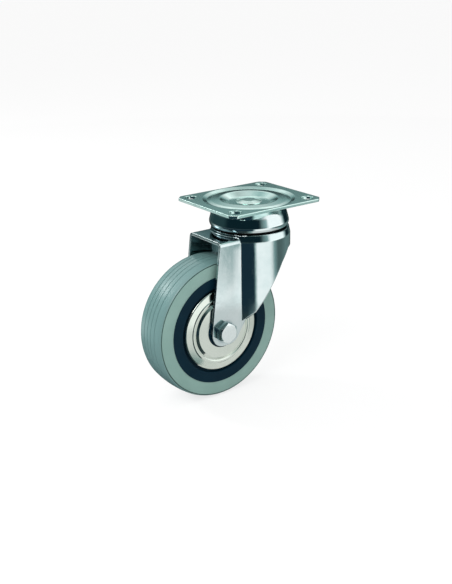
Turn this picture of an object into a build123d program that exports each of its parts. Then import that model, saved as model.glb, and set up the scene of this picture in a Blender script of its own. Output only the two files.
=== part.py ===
from build123d import *
import math
import os

# Swivel castor: a pressed top plate, a swivel head with two rings of balls, a pressed fork,
# and a rubber-tyred wheel on a roller bearing.
# Millimetres, +Z up. The origin is the centre of the plate's mounting face, the swivel axis
# is Z, the wheel trails towards -X and its axle lies along Y, with the near side at -Y.

# --- mounting plate ---
PLATE_LENGTH = 77.0
PLATE_WIDTH = 67.0
PLATE_SHEET = 2.0
PLATE_CORNER_CUT = 4.0
PLATE_CORNER_ROUND = 1.2
HOLE_EDGE_DISTANCE = 7.75
BOLT_HOLE_DIAMETER = 8.5
PLATE_EDGE_ROUND = 0.35

# --- pressed relief in the plate, radius and depth of its top face ---
DISH_RADIUS = 14.4
DISH_DEPTH = 2.7
LAND_WIDTH = 6.3
LAND_FALL = 0.5
GROOVE_DEPTH = 1.1
GROOVE_WIDTH = 5.6
RELIEF_MARGIN = 1.1
PLATE_BORDER = 0.5
RELIEF_BEND = 0.7
DISH_BEND = 2.0
LAND_BEND = 3.0
CUP_SEAT_RELIEF = 0.6

# --- kingpin ---
KINGPIN_DIAMETER = 12.0
KINGPIN_HEAD_RADIUS = 9.2
KINGPIN_CROWN_RADIUS = 4.6
KINGPIN_HEAD_EDGE = 0.3
KINGPIN_HEAD_HEIGHT = 1.4
KINGPIN_FOOT_RADIUS = 9.5
KINGPIN_FOOT_HEIGHT = 3.0
KINGPIN_ROUND = 0.8

# --- swivel head ---
BALL_CLEARANCE = 0.15
UPPER_BALL_DIAMETER = 8.0
UPPER_PITCH_RADIUS = 20.35
LOWER_BALL_DIAMETER = 5.0
CUP_SHEET = 1.5
CUP_DEPTH = 15.2
CUP_FLARE_ANGLE = 15.0
CUP_SHOULDER_DROP = 6.4
CUP_SHOULDER_STEP = 3.0
CUP_SHOULDER_ROUND = 8.0
CUP_BELLY_HEIGHT = 2.2
CUP_BELLY_ROUND = 3.0
CUP_LIP_INSET = 1.0
CUP_LIP_ROUND = 0.5
CUP_TOP_ROUND = 0.8
CUP_FLANGE_OVERLAP = 1.6
HEAD_GAP = 1.8
SEAL_WIDTH = 1.2
SEAL_HOLD = 3.0
SEAL_FLANGE = 1.2
SEAL_CLEARANCE = 0.3
SEAL_DOME_GAP = 0.7
DOME_TOP_ABOVE_BALL = 0.8
DOME_WALL_GAP = 2.6
DOME_DRAFT = 0.5
DOME_BEND = 0.6
DOME_CLEARANCE = 0.8
RACE_RING_HEIGHT = 6.5
RACE_RING_CLEARANCE = 1.5

# --- fork ---
FORK_SHEET = 2.0
CROWN_STEP = 2.1
CROWN_BEND = 3.0
CROWN_FRONT = 2.4
HEAD_OVERHANG = 2.1
HEAD_RIM_INSET = 1.0
HEAD_RIM_ROUND = 0.5
HEAD_SHOULDER_DROP = 4.5
HEAD_SHOULDER_ROUND = 6.0
HEAD_SHIFT = 0.9
CREASE_ROUND = 1.2
SKIRT_DEPTH = 13.4
SKIRT_LEAN_HEIGHT = 8.3
SKIRT_LEAN_REACH = 8.0
SKIRT_CORNER_ROUND = 3.0
LEG_END = 10.4
LEG_END_ROUND = 9.5
LEG_REAR = 12.65
LEG_REAR_ANGLE = 57.4
BULGE_FADE_HEIGHT = 4.0
BULGE_FADE_SLOPE = 1.08

# --- wheel and where it stands ---
CROWN_TO_TYRE = 11.3
TRAIL = 35.0
WHEEL_DIAMETER = 100.0
TYRE_WIDTH = 26.0
TYRE_TO_LEG = 3.0
TYRE_DEPTH = 11.3
TREAD_CROWN = 1.1
TYRE_SHOULDER = 1.5
RIM_STEP = 0.4
RIM_RING_INNER_RADIUS = 31.2
RIM_LEDGE_WIDTH = 3.5
RIM_LEDGE_RECESS = 2.4
RIM_EDGE_ROUND = 0.5
WEB_THICKNESS = 6.0
HUB_RADIUS = 14.0
HUB_SPIGOT_WALL = 1.5
HUB_END_CLEARANCE = 0.3

# --- cover disc ---
DISC_SHEET = 0.8
DISC_EDGE_GAP = 1.8
DISC_EDGE_ROUND = 1.2
DISC_SEAT_RECESS = 1.0
DISC_BEND = 0.4
DISC_SLOPE = 0.6
DISC_APRON_WIDTH = 5.1
DISC_APRON_DEPTH = 1.4
DISC_BEAD_WIDTH = 1.2
DISC_BEAD_DEPTH = 1.0
DISC_VALLEY_WIDTH = 0.5
DISC_VALLEY_DEPTH = 1.4
DISC_STEP_WIDTH = 1.8
DISC_PLATEAU_FALL = 0.15

# --- wheel bearing and axle ---
AXLE_DIAMETER = 8.0
AXLE_HOLE_CLEARANCE = 0.1
HEX_FLATS = 13.0
HEX_CHAMFER = 0.5
BOLT_HEAD_HEIGHT = 5.0
NUT_HEX_HEIGHT = 6.2
NUT_COLLAR_HEIGHT = 1.8
NUT_COLLAR_WALL = 0.8
NUT_COLLAR_LIP = 0.7
INSERT_HEIGHT = 1.4
INSERT_WALL = 1.3
BOLT_END = 1.6
BOLT_CHAMFER = 0.6
SLEEVE_DIAMETER = 12.0
BEARING_CLEARANCE = 0.05
ROLLER_DIAMETER = 3.0
ROLLER_COUNT = 10
CAGE_WALL = 1.3
CAGE_RING_LENGTH = 1.6
CAGE_END_GAP = 0.3
BUSH_WALL = 1.4
WASHER_THICKNESS = 1.0
WASHER_RECESS = 0.8

# --- levels and radii that follow ---
DISH_FLOOR = -DISH_DEPTH
CUP_SEAT = -PLATE_SHEET - CUP_SEAT_RELIEF
CUP_BOTTOM = CUP_SEAT - CUP_DEPTH
HEAD_TOP = CUP_BOTTOM - HEAD_GAP
CROWN_TOP = HEAD_TOP - CROWN_STEP
HOLE_SPACING_X = PLATE_LENGTH - 2 * HOLE_EDGE_DISTANCE
HOLE_SPACING_Y = PLATE_WIDTH - 2 * HOLE_EDGE_DISTANCE
RELIEF_RADIUS = PLATE_WIDTH / 2 - PLATE_BORDER
GROOVE_OUTER = RELIEF_RADIUS - RELIEF_MARGIN
GROOVE_INNER = GROOVE_OUTER - GROOVE_WIDTH
LAND_INNER = GROOVE_INNER - LAND_WIDTH

UPPER_BALL_RADIUS = UPPER_BALL_DIAMETER / 2
UPPER_TRACK_RADIUS = UPPER_BALL_RADIUS + BALL_CLEARANCE
CUP_TRACK_TOP = CUP_SEAT - CUP_SHEET - CUP_SEAT_RELIEF
UPPER_BALL_LEVEL = CUP_TRACK_TOP - UPPER_TRACK_RADIUS
CUP_WALL_INNER = UPPER_PITCH_RADIUS + UPPER_TRACK_RADIUS
CUP_WALL_OUTER = CUP_WALL_INNER + CUP_SHEET
HEAD_RADIUS = CUP_WALL_OUTER + HEAD_OVERHANG
DOME_RISER_OUTER = UPPER_PITCH_RADIUS - UPPER_TRACK_RADIUS
DOME_RISER_INNER = DOME_RISER_OUTER - FORK_SHEET
DOME_TRACK_FLOOR = UPPER_BALL_LEVEL - UPPER_TRACK_RADIUS
DOME_TOP = UPPER_BALL_LEVEL + DOME_TOP_ABOVE_BALL
DOME_OUTER = CUP_WALL_INNER - DOME_WALL_GAP
DOME_RIM = DOME_OUTER + DOME_DRAFT + FORK_SHEET

LOWER_BALL_RADIUS = LOWER_BALL_DIAMETER / 2
LOWER_TRACK_RADIUS = LOWER_BALL_RADIUS + BALL_CLEARANCE
LOWER_PITCH_RADIUS = DOME_RISER_INNER - LOWER_TRACK_RADIUS
LOWER_BALL_LEVEL = DOME_TOP - FORK_SHEET - LOWER_TRACK_RADIUS
LOWER_RACE_BOTTOM = LOWER_BALL_LEVEL - RACE_RING_HEIGHT

KINGPIN_RADIUS = KINGPIN_DIAMETER / 2
AXLE_X = -TRAIL
AXLE_Z = CROWN_TOP - FORK_SHEET - CROWN_TO_TYRE - WHEEL_DIAMETER / 2
LEG_INNER = TYRE_WIDTH / 2 + TYRE_TO_LEG
LEG_OUTER = LEG_INNER + FORK_SHEET
BULGE_FADE_LEVEL = AXLE_Z + BULGE_FADE_HEIGHT

WHEEL_RADIUS = WHEEL_DIAMETER / 2
RIM_RADIUS = WHEEL_RADIUS - TYRE_DEPTH
RIM_FACE = TYRE_WIDTH / 2 + RIM_STEP
HUB_END = LEG_INNER - HUB_END_CLEARANCE
RIM_LEDGE_FACE = RIM_FACE - RIM_LEDGE_RECESS

AXLE_RADIUS = AXLE_DIAMETER / 2
SLEEVE_RADIUS = SLEEVE_DIAMETER / 2
ROLLER_RADIUS = ROLLER_DIAMETER / 2
ROLLER_PITCH = SLEEVE_RADIUS + BEARING_CLEARANCE + ROLLER_RADIUS
BUSH_INNER = ROLLER_PITCH + ROLLER_RADIUS + BEARING_CLEARANCE
BUSH_OUTER = BUSH_INNER + BUSH_WALL
HUB_SPIGOT_RADIUS = BUSH_OUTER + HUB_SPIGOT_WALL
WASHER_INNER_FACE = HUB_END - WASHER_RECESS - WASHER_THICKNESS
CAGE_END = WASHER_INNER_FACE - CAGE_END_GAP
ROLLER_LENGTH = 2 * (CAGE_END - CAGE_RING_LENGTH)
DISC_SEAT = HUB_END - DISC_SEAT_RECESS
INSERT_RADIUS = AXLE_RADIUS + INSERT_WALL


# --- helpers ---
def outline(corners):
    """Closed face from corners, each (across, up) or (across, up, corner radius)."""
    points = [(corner[0], corner[1]) for corner in corners]
    radii = [corner[2] if len(corner) > 2 else 0 for corner in corners]
    return make_face(FilletPolyline(*points, radius=radii, close=True))


def turned_on_swivel(corners):
    """Solid of revolution about the swivel axis, its corners as (radius, height)."""
    return revolve(Plane.XZ * outline(corners), Axis.Z)


def turned_up(corners):
    """Solid of revolution about the local Z axis, its corners as (radius, height)."""
    return revolve(Plane.XZ * outline(corners), Axis.Z)


def turned_on_axle(corners):
    """Solid of revolution about the axle, its corners as (radius, place along the axle)."""
    centre = (AXLE_X, 0, AXLE_Z)
    return revolve(Plane(centre) * outline(corners), Axis(centre, (0, 1, 0)))


def axle_plane(y, outward):
    """Plane across the axle at y, facing -Y (outward -1) or +Y (outward +1)."""
    return Plane(origin=(AXLE_X, y, AXLE_Z), x_dir=(1, 0, 0), z_dir=(0, outward, 0))


def sheet_corners(face, thickness, back_round):
    """Corners of an even sheet: the face's corners, then its back's, to the right of the face."""
    points = [Vector(corner[0], corner[1]) for corner in face]
    back = []
    for index, point in enumerate(points):
        before = points[max(index - 1, 0)]
        after = points[min(index + 1, len(points) - 1)]
        runs = [end - start for start, end in ((before, point), (point, after)) if end != start]
        normals = [Vector(run.Y, -run.X).normalized() for run in runs]
        mitre = 1 + normals[0].dot(normals[-1])
        moved = point + (normals[0] + normals[-1]) * (thickness / mitre)
        back.append((moved.X, moved.Y, back_round) if face[index][2:] else (moved.X, moved.Y))
    return list(face) + back[::-1]


def ring_of_balls(pitch_radius, ball_radius, level):
    """As many balls as fill the pitch circle, spread evenly."""
    room = 2 * ball_radius + BALL_CLEARANCE
    count = math.floor(math.pi / math.asin(room / 2 / pitch_radius))
    places = PolarLocations(pitch_radius, count)
    return [Pos(0, 0, level) * place * Sphere(ball_radius) for place in places]


# --- plate side ---
def top_plate():
    """Rectangular sheet with cut corners, four bolt holes and a pressed round relief."""
    sheet = Rectangle(PLATE_LENGTH, PLATE_WIDTH)
    sheet = chamfer(sheet.vertices(), PLATE_CORNER_CUT)
    sheet = fillet(sheet.vertices(), PLATE_CORNER_ROUND)
    sheet -= Circle(RELIEF_RADIUS)
    holes = GridLocations(HOLE_SPACING_X, HOLE_SPACING_Y, 2, 2)
    sheet -= holes * Circle(BOLT_HOLE_DIAMETER / 2)
    slab = extrude(sheet, -PLATE_SHEET)
    bore = KINGPIN_RADIUS
    groove_middle = (GROOVE_INNER + GROOVE_OUTER) / 2
    seat_inner = UPPER_PITCH_RADIUS + CUP_FLANGE_OVERLAP
    relief = turned_on_swivel([
        (bore, DISH_FLOOR),
        (DISH_RADIUS, DISH_FLOOR, DISH_BEND),
        (LAND_INNER, 0, LAND_BEND),
        (GROOVE_INNER, -LAND_FALL, RELIEF_BEND),
        (groove_middle, -GROOVE_DEPTH, RELIEF_BEND),
        (GROOVE_OUTER, 0, RELIEF_BEND),
        (RELIEF_RADIUS, 0),
        (RELIEF_RADIUS, -PLATE_SHEET),
        (GROOVE_OUTER, CUP_SEAT),
        (seat_inner, CUP_SEAT),
        (DISH_RADIUS, DISH_FLOOR - PLATE_SHEET, DISH_BEND),
        (bore, DISH_FLOOR - PLATE_SHEET),
    ])
    plate = slab + relief
    top_face_edges = plate.edges().filter_by_position(Axis.Z, 0, 0)
    outer_edges = [edge for edge in top_face_edges if edge.center().length > RELIEF_RADIUS]
    return fillet(outer_edges, PLATE_EDGE_ROUND)


def kingpin():
    """Pin through the whole head: riveted to a low cone in the dish, with a foot under the crown."""
    head_top = DISH_FLOOR + KINGPIN_HEAD_HEIGHT
    foot_bottom = LOWER_RACE_BOTTOM - KINGPIN_FOOT_HEIGHT
    return turned_on_swivel([
        (0, head_top),
        (KINGPIN_CROWN_RADIUS, head_top, KINGPIN_ROUND),
        (KINGPIN_HEAD_RADIUS, DISH_FLOOR + KINGPIN_HEAD_EDGE),
        (KINGPIN_HEAD_RADIUS, DISH_FLOOR),
        (KINGPIN_RADIUS, DISH_FLOOR),
        (KINGPIN_RADIUS, LOWER_RACE_BOTTOM),
        (KINGPIN_FOOT_RADIUS, LOWER_RACE_BOTTOM),
        (KINGPIN_FOOT_RADIUS, foot_bottom, KINGPIN_ROUND),
        (0, foot_bottom),
    ])


def cup_wall(level):
    """Radius of the cup's inner wall: it leaves the ball track and flares towards the lip."""
    flare = math.radians(CUP_FLARE_ANGLE)
    beside_balls = UPPER_PITCH_RADIUS + UPPER_TRACK_RADIUS / math.cos(flare)
    return beside_balls + (UPPER_BALL_LEVEL - level) * math.tan(flare)


def bearing_cup():
    """Drawn cup: a flange on the plate, the upper ball track and a flared wall whose lip turns in."""
    flange_inner = UPPER_PITCH_RADIUS - CUP_FLANGE_OVERLAP
    seat_inner = UPPER_PITCH_RADIUS + CUP_FLANGE_OVERLAP
    wall_sheet = CUP_SHEET / math.cos(math.radians(CUP_FLARE_ANGLE))
    belly = CUP_BOTTOM + CUP_BELLY_HEIGHT
    shoulder = CUP_SEAT - CUP_SHOULDER_DROP
    shoulder_outer = cup_wall(shoulder) + wall_sheet
    belly_outer = cup_wall(belly) + wall_sheet
    lip_outer = belly_outer - CUP_LIP_INSET
    return turned_on_swivel([
        (flange_inner, CUP_TRACK_TOP),
        (cup_wall(CUP_TRACK_TOP), CUP_TRACK_TOP, UPPER_TRACK_RADIUS),
        (cup_wall(belly), belly, CUP_BELLY_ROUND),
        (lip_outer - CUP_SHEET, CUP_BOTTOM, CUP_LIP_ROUND),
        (lip_outer, CUP_BOTTOM, CUP_LIP_ROUND),
        (belly_outer, belly, CUP_BELLY_ROUND + CUP_SHEET),
        (shoulder_outer, shoulder, CUP_SHOULDER_ROUND),
        (shoulder_outer - CUP_SHOULDER_STEP, CUP_SEAT, CUP_TOP_ROUND),
        (seat_inner, CUP_SEAT),
        (flange_inner, CUP_TRACK_TOP + CUP_SHEET / 2),
    ])


def dust_seal():
    """Rubber ring held by its flange in the cup's belly, its lip just clear of the crown."""
    top = CUP_BOTTOM + SEAL_HOLD
    lip = HEAD_TOP + SEAL_CLEARANCE
    inner = DOME_OUTER + DOME_DRAFT + SEAL_DOME_GAP
    return turned_on_swivel([
        (inner, top),
        (cup_wall(top), top),
        (cup_wall(top), top - SEAL_FLANGE),
        (inner + SEAL_WIDTH, top - SEAL_FLANGE),
        (inner + SEAL_WIDTH, lip),
        (inner, lip),
    ])


def upper_balls():
    """Full ring of balls between the cup and the fork's dome."""
    return ring_of_balls(UPPER_PITCH_RADIUS, UPPER_BALL_RADIUS, UPPER_BALL_LEVEL)


def lower_balls():
    """Full ring of balls between the kingpin's race ring and the inside of the dome."""
    return ring_of_balls(LOWER_PITCH_RADIUS, LOWER_BALL_RADIUS, LOWER_BALL_LEVEL)


def lower_race():
    """Cone ring on the kingpin's foot; its cone faces the lower balls at 45 degrees."""
    cone = math.sqrt(2) * LOWER_TRACK_RADIUS
    top = LOWER_BALL_LEVEL
    top_radius = LOWER_PITCH_RADIUS - cone
    outer_radius = DOME_RISER_INNER - RACE_RING_CLEARANCE
    return turned_on_swivel([
        (KINGPIN_RADIUS, top),
        (top_radius, top),
        (outer_radius, top - (outer_radius - top_radius)),
        (outer_radius, LOWER_RACE_BOTTOM),
        (KINGPIN_RADIUS, LOWER_RACE_BOTTOM),
    ])


# --- fork ---
def fork_side():
    """Side view: sloping front, rounded leg end, rear edge that leans out to the skirt's edge."""
    leg_bottom = AXLE_Z - LEG_END
    skirt_bottom = HEAD_TOP - SKIRT_DEPTH
    lean_bottom = skirt_bottom - SKIRT_LEAN_HEIGHT
    front_lean = (CROWN_FRONT - LEG_END) / (CROWN_TOP - AXLE_Z)
    rise = math.radians(LEG_REAR_ANGLE)
    rear_x = AXLE_X + LEG_REAR * math.sin(rise)
    rear_z = AXLE_Z - LEG_REAR * math.cos(rise)
    behind = 2 * HEAD_RADIUS

    def front_at(level):
        return AXLE_X - CROWN_FRONT - (level - CROWN_TOP) * front_lean

    def rear_at(level):
        return rear_x + (level - rear_z) / math.tan(rise)

    return outline([
        (front_at(0), 0),
        (front_at(leg_bottom), leg_bottom, LEG_END_ROUND),
        (rear_at(leg_bottom), leg_bottom, LEG_END_ROUND),
        (rear_at(lean_bottom), lean_bottom, SKIRT_CORNER_ROUND),
        (rear_at(lean_bottom) + SKIRT_LEAN_REACH, skirt_bottom, SKIRT_CORNER_ROUND),
        (behind, skirt_bottom),
        (behind, 0),
    ])


def fork_form(inset):
    """Solid form of the fork: a channel for the legs joined to a round head behind it.
    Inset by the sheet, it is the space inside the fork."""
    half = LEG_OUTER - inset
    bottom = 2 * AXLE_Z
    channel_section = outline([
        (-half, bottom),
        (-half, CROWN_TOP - inset, CROWN_BEND - inset),
        (half, CROWN_TOP - inset, CROWN_BEND - inset),
        (half, bottom),
    ])
    channel = extrude(Plane.YZ * channel_section, -2 * (TRAIL + LEG_END))

    radius = HEAD_RADIUS - inset
    rim = radius - HEAD_RIM_INSET
    head = turned_on_swivel([
        (0, HEAD_TOP - inset),
        (rim, HEAD_TOP - inset, HEAD_RIM_ROUND),
        (radius, HEAD_TOP - HEAD_SHOULDER_DROP - inset, HEAD_SHOULDER_ROUND - inset),
        (radius, bottom),
        (0, bottom),
    ])
    wide = 2 * HEAD_RADIUS
    fade = BULGE_FADE_LEVEL + inset * (math.hypot(1, BULGE_FADE_SLOPE) - BULGE_FADE_SLOPE)
    fade_end = fade + (wide - half) * BULGE_FADE_SLOPE
    fade_section = outline([
        (-wide, 0),
        (-wide, fade_end),
        (-half, fade),
        (half, fade),
        (wide, fade_end),
        (wide, 0),
    ])
    head = Pos(HEAD_SHIFT, 0, 0) * head & extrude(Plane.YZ * fade_section, wide, both=True)

    form = channel + head
    meeting = [edge for edge in new_edges(channel, head, combined=form) if edge.center().X < -1]
    return fillet(meeting, CREASE_ROUND)


def crown_dome():
    """Raised middle of the crown: the upper balls run outside its riser, the lower ones inside."""
    bore = KINGPIN_RADIUS + DOME_CLEARANCE
    outer = DOME_OUTER
    foot = DOME_OUTER + DOME_DRAFT
    under_top = DOME_TOP - FORK_SHEET
    under_floor = DOME_TRACK_FLOOR - FORK_SHEET
    return turned_on_swivel([
        (bore, DOME_TOP),
        (DOME_RISER_OUTER, DOME_TOP, DOME_BEND),
        (DOME_RISER_OUTER, DOME_TRACK_FLOOR, UPPER_TRACK_RADIUS),
        (outer, DOME_TRACK_FLOOR, 2 * DOME_BEND),
        (foot, HEAD_TOP, DOME_BEND),
        (DOME_RIM, HEAD_TOP),
        (DOME_RIM, HEAD_TOP - FORK_SHEET),
        (foot - FORK_SHEET, HEAD_TOP - FORK_SHEET, DOME_BEND),
        (outer - FORK_SHEET, under_floor, DOME_BEND),
        (DOME_RISER_INNER, under_floor, DOME_BEND),
        (DOME_RISER_INNER, under_top, LOWER_TRACK_RADIUS),
        (bore, under_top),
    ])


def fork():
    """One pressed sheet: crown with its ball dome, two flat legs and the skirt behind them."""
    sheet = fork_form(0) - fork_form(FORK_SHEET)
    sheet &= extrude(Plane.XZ * fork_side(), 2 * HEAD_RADIUS, both=True)
    dome = crown_dome()
    middle = Pos(0, 0, HEAD_TOP) * Cylinder(DOME_RIM, 4 * FORK_SHEET)
    sheet = sheet - middle + dome
    axle_hole = Cylinder(AXLE_RADIUS + AXLE_HOLE_CLEARANCE, 4 * LEG_OUTER)
    return sheet - axle_plane(0, -1) * axle_hole


# --- wheel ---
def tyre():
    """Solid rubber tyre moulded on the rim, flat-sided with a slightly crowned tread."""
    side = TYRE_WIDTH / 2
    edge = WHEEL_RADIUS - TREAD_CROWN
    tread = ThreePointArc((edge, -side), (WHEEL_RADIUS, 0), (edge, side))
    walls = Polyline((edge, side), (RIM_RADIUS, side), (RIM_RADIUS, -side), (edge, -side))
    section = make_face([tread, walls])
    shoulders = section.vertices().group_by(Axis.X)[-1]
    centre = (AXLE_X, 0, AXLE_Z)
    return revolve(Plane(centre) * fillet(shoulders, TYRE_SHOULDER), Axis(centre, (0, 1, 0)))


def wheel_rim():
    """Moulded wheel centre: hub, web and ring, with a recess on each side for a cover disc."""
    ledge_inner = RIM_RING_INNER_RADIUS - RIM_LEDGE_WIDTH
    half_side = [
        (HUB_SPIGOT_RADIUS, HUB_END),
        (HUB_SPIGOT_RADIUS, DISC_SEAT),
        (HUB_RADIUS, DISC_SEAT),
        (HUB_RADIUS, WEB_THICKNESS / 2),
        (ledge_inner, WEB_THICKNESS / 2),
        (ledge_inner, RIM_LEDGE_FACE),
        (RIM_RING_INNER_RADIUS, RIM_LEDGE_FACE),
        (RIM_RING_INNER_RADIUS, RIM_FACE, RIM_EDGE_ROUND),
        (RIM_RADIUS, RIM_FACE),
    ]
    other_side = [(corner[0], -corner[1], *corner[2:]) for corner in reversed(half_side)]
    bore = [(BUSH_OUTER, -HUB_END), (BUSH_OUTER, HUB_END)]
    return turned_on_axle(bore + half_side + other_side)


def cover_disc(side):
    """Pressed disc over the hub's web: stepped and beaded, its edge rolled back to the rim."""
    edge = RIM_RING_INNER_RADIUS - DISC_EDGE_GAP
    plateau = DISC_SEAT + DISC_SHEET
    bead_outer = edge - DISC_APRON_WIDTH - DISC_SLOPE
    bead_inner = bead_outer - DISC_BEAD_WIDTH
    valley_outer = bead_inner - DISC_SLOPE
    valley_inner = valley_outer - DISC_VALLEY_WIDTH
    step_outer = valley_inner - DISC_STEP_WIDTH
    face = [
        (HUB_SPIGOT_RADIUS, plateau),
        (HUB_RADIUS, plateau, DISC_BEND),
        (step_outer, plateau - DISC_PLATEAU_FALL, DISC_BEND),
        (valley_inner, plateau - DISC_VALLEY_DEPTH, DISC_BEND),
        (valley_outer, plateau - DISC_VALLEY_DEPTH, DISC_BEND),
        (bead_inner, plateau - DISC_BEAD_DEPTH, DISC_BEND),
        (bead_outer, plateau - DISC_BEAD_DEPTH, DISC_BEND),
        (edge - DISC_APRON_WIDTH, plateau - DISC_APRON_DEPTH, DISC_BEND),
        (edge, RIM_FACE, DISC_EDGE_ROUND),
        (edge, RIM_LEDGE_FACE),
    ]
    corners = sheet_corners(face, DISC_SHEET, DISC_BEND)
    return turned_on_axle([(corner[0], side * corner[1], *corner[2:]) for corner in corners])


def hub_bush():
    """Hard tube in the hub that the rollers run in."""
    return turned_on_axle([
        (BUSH_INNER, -HUB_END),
        (BUSH_OUTER, -HUB_END),
        (BUSH_OUTER, HUB_END),
        (BUSH_INNER, HUB_END),
    ])


def cage_washer(side):
    """Ring in the end of the hub's bush that keeps the roller cage in."""
    inner = SLEEVE_RADIUS + 3 * BEARING_CLEARANCE
    near = side * WASHER_INNER_FACE
    far = side * (WASHER_INNER_FACE + WASHER_THICKNESS)
    return turned_on_axle([(inner, near), (BUSH_INNER, near), (BUSH_INNER, far), (inner, far)])


# --- wheel bearing ---
def rollers():
    """Straight rollers spread evenly round the sleeve."""
    places = PolarLocations(ROLLER_PITCH, ROLLER_COUNT)
    return [axle_plane(0, -1) * place * Cylinder(ROLLER_RADIUS, ROLLER_LENGTH) for place in places]


def roller_cage():
    """Thin tube with a window for each roller and a ring at each end."""
    inner = ROLLER_PITCH - CAGE_WALL / 2
    outer = ROLLER_PITCH + CAGE_WALL / 2
    tube = Cylinder(outer, 2 * CAGE_END) - Cylinder(inner, 2 * CAGE_END)
    window = Cylinder(ROLLER_RADIUS + BEARING_CLEARANCE, ROLLER_LENGTH + 2 * BEARING_CLEARANCE)
    tube -= PolarLocations(ROLLER_PITCH, ROLLER_COUNT) * window
    return axle_plane(0, -1) * tube


def axle_sleeve():
    """Spacer tube clamped between the legs, the inner race of the rollers."""
    length = 2 * LEG_INNER
    tube = Cylinder(SLEEVE_RADIUS, length)
    return axle_plane(0, -1) * (tube - Cylinder(AXLE_RADIUS + AXLE_HOLE_CLEARANCE, length))


# --- axle bolt and nut ---
def hex_prism(height):
    """Hexagonal bar from its seat upwards, a corner at the top, its end corners turned off."""
    bar = extrude(RegularPolygon(HEX_FLATS / 2, 6, major_radius=False, rotation=30), height)
    corner = HEX_FLATS / math.sqrt(3)
    turned = outline([
        (0, 0),
        (corner, 0),
        (corner, height - HEX_CHAMFER),
        (HEX_FLATS / 2 - HEX_CHAMFER / 2, height),
        (0, height),
    ])
    return bar & revolve(Plane.XZ * turned, Axis.Z)


def axle_bolt():
    """Hex bolt with its head on the near leg and its end just past the nut."""
    reach = 2 * LEG_OUTER + NUT_HEX_HEIGHT + NUT_COLLAR_HEIGHT + BOLT_END
    shank = Pos(0, 0, -reach / 2) * Cylinder(AXLE_RADIUS, reach)
    shank = chamfer(shank.edges().sort_by(Axis.Z)[0], BOLT_CHAMFER)
    head = hex_prism(BOLT_HEAD_HEIGHT)
    return axle_plane(-LEG_OUTER, -1) * (head + shank)


def axle_nut():
    """Self-locking hex nut on the far leg, with a round collar that holds the nylon ring."""
    collar_radius = INSERT_RADIUS + NUT_COLLAR_WALL
    body = hex_prism(NUT_HEX_HEIGHT)
    collar_top = NUT_HEX_HEIGHT + NUT_COLLAR_HEIGHT
    collar = turned_up([
        (0, NUT_HEX_HEIGHT / 2),
        (collar_radius, NUT_HEX_HEIGHT / 2),
        (collar_radius, collar_top, HEX_CHAMFER),
        (0, collar_top),
    ])
    recess = Pos(0, 0, NUT_HEX_HEIGHT + INSERT_HEIGHT / 2) * Cylinder(INSERT_RADIUS, INSERT_HEIGHT)
    bore = Cylinder(AXLE_RADIUS, 4 * collar_top)
    mouth = turned_up([
        (0, NUT_HEX_HEIGHT),
        (INSERT_RADIUS - NUT_COLLAR_LIP, NUT_HEX_HEIGHT),
        (INSERT_RADIUS - NUT_COLLAR_LIP, 2 * collar_top),
        (0, 2 * collar_top),
    ])
    return axle_plane(LEG_OUTER, 1) * (body + collar - recess - bore - mouth)


def nut_insert():
    """Nylon ring in the nut's collar that grips the bolt."""
    ring = Cylinder(INSERT_RADIUS, INSERT_HEIGHT) - Cylinder(AXLE_RADIUS, INSERT_HEIGHT)
    return axle_plane(LEG_OUTER, 1) * Pos(0, 0, NUT_HEX_HEIGHT + INSERT_HEIGHT / 2) * ring


# --- write every piece ---
PIECES = {
    "top_plate": top_plate(),
    "kingpin": kingpin(),
    "bearing_cup": bearing_cup(),
    "dust_seal": dust_seal(),
    "upper_balls": upper_balls(),
    "lower_balls": lower_balls(),
    "lower_race": lower_race(),
    "fork": fork(),
    "axle_bolt": axle_bolt(),
    "axle_nut": axle_nut(),
    "nut_insert": nut_insert(),
    "axle_sleeve": axle_sleeve(),
    "roller_cage": roller_cage(),
    "rollers": rollers(),
    "hub_bush": hub_bush(),
    "cage_washer_near": cage_washer(-1),
    "cage_washer_far": cage_washer(1),
    "wheel_rim": wheel_rim(),
    "cover_disc_near": cover_disc(-1),
    "cover_disc_far": cover_disc(1),
    "tyre": tyre(),
}

os.makedirs("parts", exist_ok=True)
for name, shape in PIECES.items():
    if isinstance(shape, list):
        shape = Compound(children=shape)
    export_step(shape, f"parts/{name}.step")
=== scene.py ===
import math

import bmesh
import bpy
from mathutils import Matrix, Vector


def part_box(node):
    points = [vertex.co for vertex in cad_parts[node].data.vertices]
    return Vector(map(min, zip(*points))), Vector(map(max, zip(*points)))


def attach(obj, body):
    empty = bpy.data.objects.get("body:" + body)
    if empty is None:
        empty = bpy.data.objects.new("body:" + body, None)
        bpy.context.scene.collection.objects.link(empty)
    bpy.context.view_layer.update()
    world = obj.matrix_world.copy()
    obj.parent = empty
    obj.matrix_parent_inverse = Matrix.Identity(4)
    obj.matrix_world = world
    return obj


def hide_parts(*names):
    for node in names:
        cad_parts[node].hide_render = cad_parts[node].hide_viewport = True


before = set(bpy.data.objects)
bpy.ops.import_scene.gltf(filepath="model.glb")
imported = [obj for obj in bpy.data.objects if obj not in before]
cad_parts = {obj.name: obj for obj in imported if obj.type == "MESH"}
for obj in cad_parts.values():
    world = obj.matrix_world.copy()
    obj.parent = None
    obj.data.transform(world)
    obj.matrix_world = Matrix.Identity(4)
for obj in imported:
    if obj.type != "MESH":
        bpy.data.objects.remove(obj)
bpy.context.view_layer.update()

# ---------------------------------------------------------------------------
# Camera. It stands on the near side, left of the wheel and a little above the
# plate. The turns are in degrees about X, Y and Z.
# ---------------------------------------------------------------------------
CAMERA_PLACE = (-0.359238, -0.471346, 0.150637)
CAMERA_TURN = (69.64444, 0.91928, -36.03101)
CAMERA_LENS = 54.41417
CAMERA_SENSOR_WIDTH = 36.0
CAMERA_NEAREST = 0.01
CAMERA_FARTHEST = 100.0

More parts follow.
